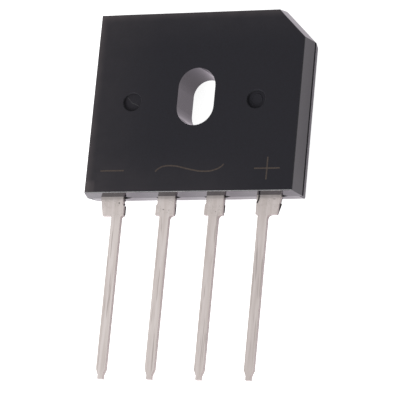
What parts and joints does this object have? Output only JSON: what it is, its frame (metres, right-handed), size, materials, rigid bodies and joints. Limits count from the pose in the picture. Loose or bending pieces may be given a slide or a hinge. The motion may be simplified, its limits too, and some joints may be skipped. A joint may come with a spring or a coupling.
{
  "type": "bridge rectifier",
  "caption": "Flat moulded bridge rectifier with a screw slot, a clipped corner and a row of flat leads, lying on its heat-sink face.",
  "frame": {"origin": "centre of the screw slot on the mounting face, the flat back that goes against a heat sink", "axes": "+Z out of the marked face, +Y towards the end away from the leads, +X towards the clipped corner; the leads run along -Y"},
  "size_m": [0.0224, 0.0366, 0.0034],
  "materials": {
    "epoxy": "black filled epoxy moulding resin, finely textured",
    "tinned_copper": "stamped copper sheet with a hot-dipped tin finish",
    "silicon": "glass-passivated silicon with a plated contact",
    "copper": "bare rolled copper",
    "solder": "reflowed solder"
  },
  "bodies": {
    "root": {"case": "epoxy", "lead_minus": "tinned_copper", "lead_ac_1": "tinned_copper", "lead_ac_2": "tinned_copper", "lead_plus": "tinned_copper", "chip_1": "silicon", "chip_2": "silicon", "chip_3": "silicon", "chip_4": "silicon", "clip_1": "copper", "clip_2": "copper", "clip_3": "copper", "clip_4": "copper", "die_solder_1": "solder", "die_solder_2": "solder", "die_solder_3": "solder", "die_solder_4": "solder", "pad_solder_1": "solder", "pad_solder_2": "solder", "pad_solder_3": "solder", "pad_solder_4": "solder", "foot_solder_1": "solder", "foot_solder_2": "solder", "foot_solder_3": "solder", "foot_solder_4": "solder"}
  },
  "joints": []
}
